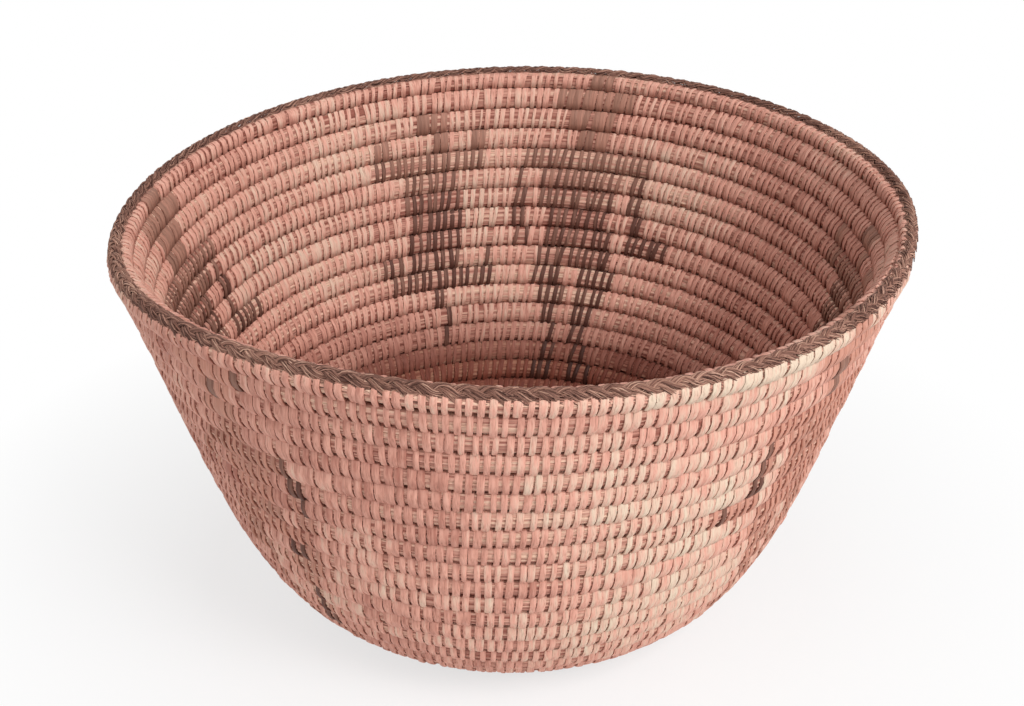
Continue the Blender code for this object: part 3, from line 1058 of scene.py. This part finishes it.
def strand_piece(strand, settings, chance, material):
    """One strand of the plait, as fibres side by side that pass over and under the others."""
    parts, faces = [], []
    for index in range(settings.fibres):
        place = index / (settings.fibres - 1) - 1 / 2
        middle, upward, angles = plait_fibre(strand, place, settings, chance)
        radius = settings.fibre_radius * chance.uniform(*FIBRE_SIZE_SHARES)
        rings = fibre_rings(middle, upward, radius)
        sizes = rings.shape[:2]
        offset = settings.strand_width * (place + index) + radius * np.cos(FIBRE_ANGLES)
        grain = ((angles * RIM_RADIUS)[:, None], offset, radius * np.sin(FIBRE_ANGLES))
        tone = fibre_tones(angles, settings.fibres, chance)[:, None]
        # Painted shade on the underside of every fibre
        painted_shade = np.maximum(-np.sin(FIBRE_ANGLES), 0)
        looks = [np.broadcast_to(values, sizes) for values in (tone, painted_shade)]
        parts.append((rings, np.stack(np.broadcast_arrays(*grain), -1), *looks))
        faces += moved_on(tube_faces(*sizes, True), index * sizes[0] * sizes[1])
    points, *looks = (np.concatenate(values) for values in zip(*parts))
    name = f"plait_strand_{strand + 1}"
    piece = add_piece(name, points, faces, material, *looks, "rim_splint")
    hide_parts(f"rim_{name}")


class BASKET_OT_plait(bpy.types.Operator):
    """Plaits three strands of fibres along the rim"""

    bl_idname = "basket.plait"
    bl_label = "Rim plait"

    def execute(self, context):
        settings = context.scene.basket_plait
        chance = np.random.default_rng(RANDOM_SEED)
        material = grass_material("plait_fibre", (settings.dark, settings.brown, settings.pale))
        for strand in range(PLAIT_STRANDS):
            strand_piece(strand, settings, chance, material)
        return {"FINISHED"}


# The knot

def strip_piece(number, across, over, turn, settings, material):
    """A woven strip with rounded edges, over one neighbour and under the other."""
    deselect_all()
    bpy.ops.mesh.primitive_cube_add(size=1)
    strip = bpy.context.object
    strip.name = f"knot_strip_{number}"
    strip.scale = (2 * KNOT_HALF_LENGTH, STRIP_WIDTH, STRIP_THICKNESS)
    bpy.ops.object.transform_apply(location=False, rotation=False, scale=True)
    mesh = strip.data
    edit_edges(strip, lambda first, last: abs(first.x - last.x) > STRIP_WIDTH)
    bpy.ops.mesh.subdivide(number_cuts=STRIP_CUTS)
    bpy.ops.object.mode_set(mode="OBJECT")
    offset = STRIP_THICKNESS / 2 + SEAT_GAP / 2
    if not over:
        offset = -offset
    for vertex in mesh.vertices:
        vertex.co.z += offset * float(np.clip(-2 * vertex.co.x / STRIP_SPACE, -1, 1))
    softened = strip.modifiers.new("rounded_edges", "BEVEL")
    softened.width = settings.rounding
    softened.segments = STRIP_EDGE_STEPS
    bpy.ops.object.modifier_apply(modifier=softened.name)
    points = np.array([vertex.co[:] for vertex in mesh.vertices])
    grain = points + [0, number * ROW_PITCH, 0]
    tone = np.full(len(points), STRIP_TONE + STRIP_TONE_STEP * number)
    start = float(angle_of_turn(START_TURN))
    middle = Vector((-KNOT_SHIFT * math.cos(start), -KNOT_SHIFT * math.sin(start), FOOT_DEPTH))
    beside = Matrix.Translation((0, across, 0))
    mesh.transform(Matrix.Translation(middle) @ Matrix.Rotation(turn, 4, "Z") @ beside)
    finish_piece(strip, material, grain, tone, np.zeros(len(points)), "start_grass")
    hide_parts(f"start_strip_{number}")


class BASKET_OT_knot(bpy.types.Operator):
    """Weaves the four strips that the bundle starts from"""

    bl_idname = "basket.knot"
    bl_label = "Start knot"

    def execute(self, context):
        settings = context.scene.basket_knot
        material = grass_material("knot_strip", (settings.shade, settings.body, settings.light))
        corner = math.atan2(KNOT_HALF_SPAN, KNOT_HALF_LENGTH)
        first_turn = float(angle_of_turn(START_TURN)) - corner
        across = (STRIP_WIDTH + STRIP_SPACE) / 2
        for place in range(STRIP_COUNT):
            over = place % 2 == 0
            turn = first_turn + FULL_TURN / STRIP_COUNT * (place // 2)
            strip_piece(place + 1, across if over else -across, over, turn, settings, material)
        return {"FINISHED"}


# The stage

def seen_directly(tree):
    """1 for what the camera sees, straight, in a reflection or through glass, and otherwise 0."""
    path = add_node(tree, "ShaderNodeLightPath").outputs
    mirrored = math_node(tree, "MAXIMUM", path["Is Glossy Ray"], path["Is Transmission Ray"])
    return math_node(tree, "MAXIMUM", path["Is Camera Ray"], mirrored)


def floor_material(colour):
    """A matt pale floor that keeps a soft shadow and shows white away from it."""
    made, tree, shader = new_material("pale_floor")
    feed(tree, shader, {"Base Color": (*colour, 1), "Roughness": 1, "Specular IOR Level": 0})
    place = add_node(tree, "ShaderNodeTexCoord").outputs["Object"]
    reach = add_node(tree, "ShaderNodeVectorMath", {0: place}, operation="LENGTH").outputs["Value"]
    away = range_node(tree, reach, SHADOW_REACH, WHITE_REACH, SHADOW_LIGHTENING_SHARE)
    white = add_node(tree, "ShaderNodeEmission", {"Strength": 1})
    share = math_node(tree, "MULTIPLY", away, seen_directly(tree))
    inputs = {0: share, 1: shader.outputs[0], 2: white.outputs[0]}
    mixed = add_node(tree, "ShaderNodeMixShader", inputs).outputs[0]
    feed(tree, tree.nodes["Material Output"], {"Surface": mixed})
    return made


def add_lamp(name, bearing, size, power, aim):
    """A soft square lamp at a bearing round the bowl, turned to its middle."""
    place = Vector((LAMP_REACH * math.cos(bearing), LAMP_REACH * math.sin(bearing), LAMP_HEIGHT))
    bpy.ops.object.light_add(type="AREA", location=place)
    lamp = bpy.context.object
    lamp.name = name
    lamp.data.energy = power
    lamp.data.size = size
    lamp.rotation_euler = (aim - place).to_track_quat("-Z", "Y").to_euler()


def add_camera(lens):
    """The camera at the photograph's place, aimed and turned as there."""
    rise, reach = math.sin(CAMERA_ELEVATION), math.cos(CAMERA_ELEVATION)
    place = Vector((0, -CAMERA_DISTANCE * reach, RIM_HEIGHT + CAMERA_DISTANCE * rise))
    level = math.cos(CAMERA_AIM)
    ahead = Vector((math.sin(CAMERA_YAW) * level, math.cos(CAMERA_YAW) * level, -math.sin(CAMERA_AIM)))
    bpy.ops.object.camera_add(location=place)
    camera = bpy.context.object
    turned = ahead.to_track_quat("-Z", "Y").to_matrix().to_4x4() @ Matrix.Rotation(CAMERA_ROLL, 4, "Z")
    camera.matrix_world = Matrix.Translation(place) @ turned
    camera.data.lens = lens
    camera.data.sensor_width = SENSOR_WIDTH
    bpy.context.scene.camera = camera


def even_light(strength):
    """Soft light from everywhere, which the camera sees as white."""
    world = bpy.data.worlds.new("even_light")
    world.use_nodes = True
    tree = world.node_tree
    seen = math_node(tree, "MAXIMUM", seen_directly(tree), strength)
    feed(tree, tree.nodes["Background"], {"Color": (*WHITE, 1), "Strength": seen})
    bpy.context.scene.world = world


class BASKET_OT_stage(bpy.types.Operator):
    """Sets the floor, the lamps and the camera"""

    bl_idname = "basket.stage"
    bl_label = "Stage"

    def execute(self, context):
        settings = context.scene.basket_stage
        deselect_all()
        bpy.ops.mesh.primitive_plane_add(size=FLOOR_SIZE)
        floor = bpy.context.object
        floor.name = "floor"
        floor.data.materials.append(floor_material(settings.floor))
        aim = Vector((0, 0, RIM_HEIGHT / 2))
        add_lamp("key_lamp", KEY_BEARING, KEY_SIZE, settings.key_power, aim)
        add_lamp("fill_lamp", FILL_BEARING, FILL_SIZE, settings.fill_power, aim)
        even_light(settings.ambient)
        add_camera(settings.lens)
        context.scene.view_settings.view_transform = "Standard"
        return {"FINISHED"}


SETTINGS = (
    ("basket_bundle", BundleSettings),
    ("basket_stitches", StitchSettings),
    ("basket_figures", FigureSettings),
    ("basket_plait", PlaitSettings),
    ("basket_knot", KnotSettings),
    ("basket_stage", StageSettings),
)
OPERATORS = (BASKET_OT_bundle, BASKET_OT_stitches, BASKET_OT_plait, BASKET_OT_knot, BASKET_OT_stage)


class BASKET_PT_panel(bpy.types.Panel):
    """The bowl's settings and the steps that build it"""

    bl_idname = "BASKET_PT_panel"
    bl_label = "Coiled basket bowl"
    bl_space_type = "VIEW_3D"
    bl_region_type = "UI"
    bl_category = "Basket"

    def draw(self, context):
        for operator in OPERATORS:
            self.layout.operator(operator.bl_idname)
        for name, group in SETTINGS:
            box = self.layout.box()
            box.label(text=group.__doc__)
            for setting in group.__annotations__:
                box.prop(getattr(context.scene, name), setting)


def register():
    for name, group in SETTINGS:
        bpy.utils.register_class(group)
        setattr(bpy.types.Scene, name, bpy.props.PointerProperty(type=group))
    for kind in OPERATORS + (BASKET_PT_panel,):
        bpy.utils.register_class(kind)


def unregister():
    for kind in reversed(OPERATORS + (BASKET_PT_panel,)):
        bpy.utils.unregister_class(kind)
    for name, group in reversed(SETTINGS):
        delattr(bpy.types.Scene, name)
        bpy.utils.unregister_class(group)


def main():
    register()
    bpy.ops.basket.bundle()
    bpy.ops.basket.stitches()
    bpy.ops.basket.plait()
    bpy.ops.basket.knot()
    bpy.ops.basket.stage()


if __name__ == "__main__":
    main()
